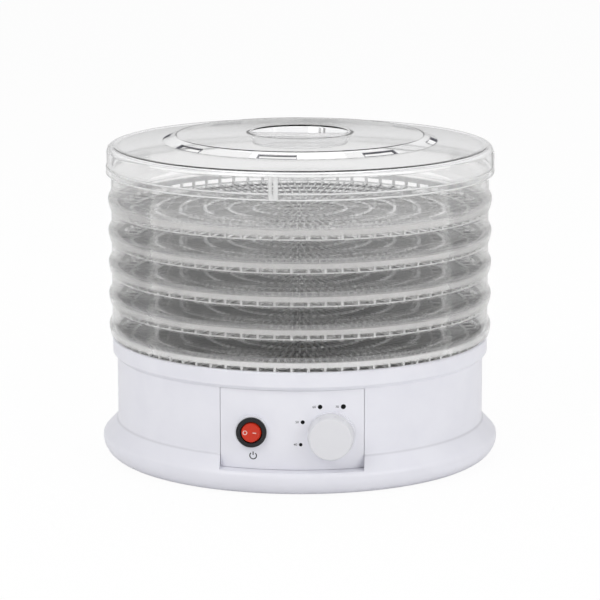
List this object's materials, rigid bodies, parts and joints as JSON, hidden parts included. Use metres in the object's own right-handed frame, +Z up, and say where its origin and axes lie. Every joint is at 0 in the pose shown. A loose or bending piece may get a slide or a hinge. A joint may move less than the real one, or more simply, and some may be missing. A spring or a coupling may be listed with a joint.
{
  "type": "food dehydrator",
  "caption": "Round countertop food dehydrator: a stack of clear lift-off trays and a clear vented lid on a white fan-heater base with a dial and a rocker switch.",
  "frame": {"origin": "on the table under the axis of the round base, level with the undersides of the feet", "axes": "+Z up along the axis of the stack, -Y towards the control panel, +X to the right of a person who faces the panel"},
  "size_m": [0.332, 0.332, 0.2713],
  "materials": {
    "clear_plastic": "clear, glossy",
    "white_plastic": "satin white",
    "panel_plastic": "satin white",
    "knob_plastic": "satin light grey",
    "black_plastic": "satin black",
    "red_plastic": "glossy red",
    "grey_plastic": "satin grey",
    "cream_plastic": "matt cream",
    "wire_cover": "matt wire insulation",
    "black_rubber": "matt black",
    "steel": "plain zinc",
    "core_steel": "stacked sheet, lacquered",
    "sheet_metal": "plain sheet",
    "copper": "lacquered copper winding",
    "bronze": "sintered bronze",
    "brass": "plain brass",
    "heater_wire": "dull resistance wire",
    "mica": "matt mica sheet"
  },
  "bodies": {
    "base": {"base_shell": "white_plastic", "bottom_cover": "white_plastic", "feet": "black_rubber", "bottom_screws": "steel", "air_deck": "black_plastic", "deck_screws": "steel", "fan_guard": "black_plastic", "air_duct": "sheet_metal", "heater_coil": "heater_wire", "heater_cards": "mica", "motor_core": "core_steel", "motor_coil": "copper", "motor_bridges": "sheet_metal", "motor_bushes": "bronze", "motor_screws": "steel", "control_panel": "panel_plastic", "panel_screws": "steel", "thermostat_body": "cream_plastic", "thermostat_screws": "steel", "thermostat_terminals": "brass", "switch_body": "black_plastic", "switch_terminals": "brass", "cord_gland": "black_rubber", "terminal_block": "cream_plastic", "thermal_fuse": "sheet_metal", "wiring": "wire_cover"},
    "tray_1": {"tray_1": "clear_plastic"},
    "tray_2": {"tray_2": "clear_plastic"},
    "tray_3": {"tray_3": "clear_plastic"},
    "tray_4": {"tray_4": "clear_plastic"},
    "tray_5": {"tray_5": "clear_plastic"},
    "lid": {"lid": "clear_plastic"},
    "dial": {"dial_knob": "knob_plastic", "thermostat_shaft": "steel"},
    "rocker": {"switch_rocker": "red_plastic"},
    "fan_rotor": {"fan": "grey_plastic", "fan_clip": "steel", "motor_shaft": "steel", "motor_rotor": "core_steel"}
  },
  "joints": [
    {"name": "tray_5_lift", "type": "slide", "parent": "base", "child": "tray_5", "axis": [0, 0, 1], "range_m": [0, 0.05]},
    {"name": "tray_4_lift", "type": "slide", "parent": "tray_5", "child": "tray_4", "axis": [0, 0, 1], "range_m": [0, 0.05]},
    {"name": "tray_3_lift", "type": "slide", "parent": "tray_4", "child": "tray_3", "axis": [0, 0, 1], "range_m": [0, 0.05]},
    {"name": "tray_2_lift", "type": "slide", "parent": "tray_3", "child": "tray_2", "axis": [0, 0, 1], "range_m": [0, 0.05]},
    {"name": "tray_1_lift", "type": "slide", "parent": "tray_2", "child": "tray_1", "axis": [0, 0, 1], "range_m": [0, 0.05]},
    {"name": "lid_lift", "type": "slide", "parent": "tray_1", "child": "lid", "axis": [0, 0, 1], "range_m": [0, 0.06]},
    {"name": "dial_turn", "type": "hinge", "parent": "base", "child": "dial", "pos_m": [0.0312, -0.16, 0.0482], "axis": [0, 1, 0], "range_deg": [-106.6, 23.1]},
    {"name": "rocker_tip", "type": "hinge", "parent": "base", "child": "rocker", "pos_m": [-0.0321, -0.1521, 0.051], "axis": [0, 0, 1], "range_deg": [0, 18]},
    {"name": "fan_spin", "type": "hinge", "parent": "base", "child": "fan_rotor", "pos_m": [0, 0, 0.0583], "axis": [0, 0, 1], "continuous": true}
  ]
}
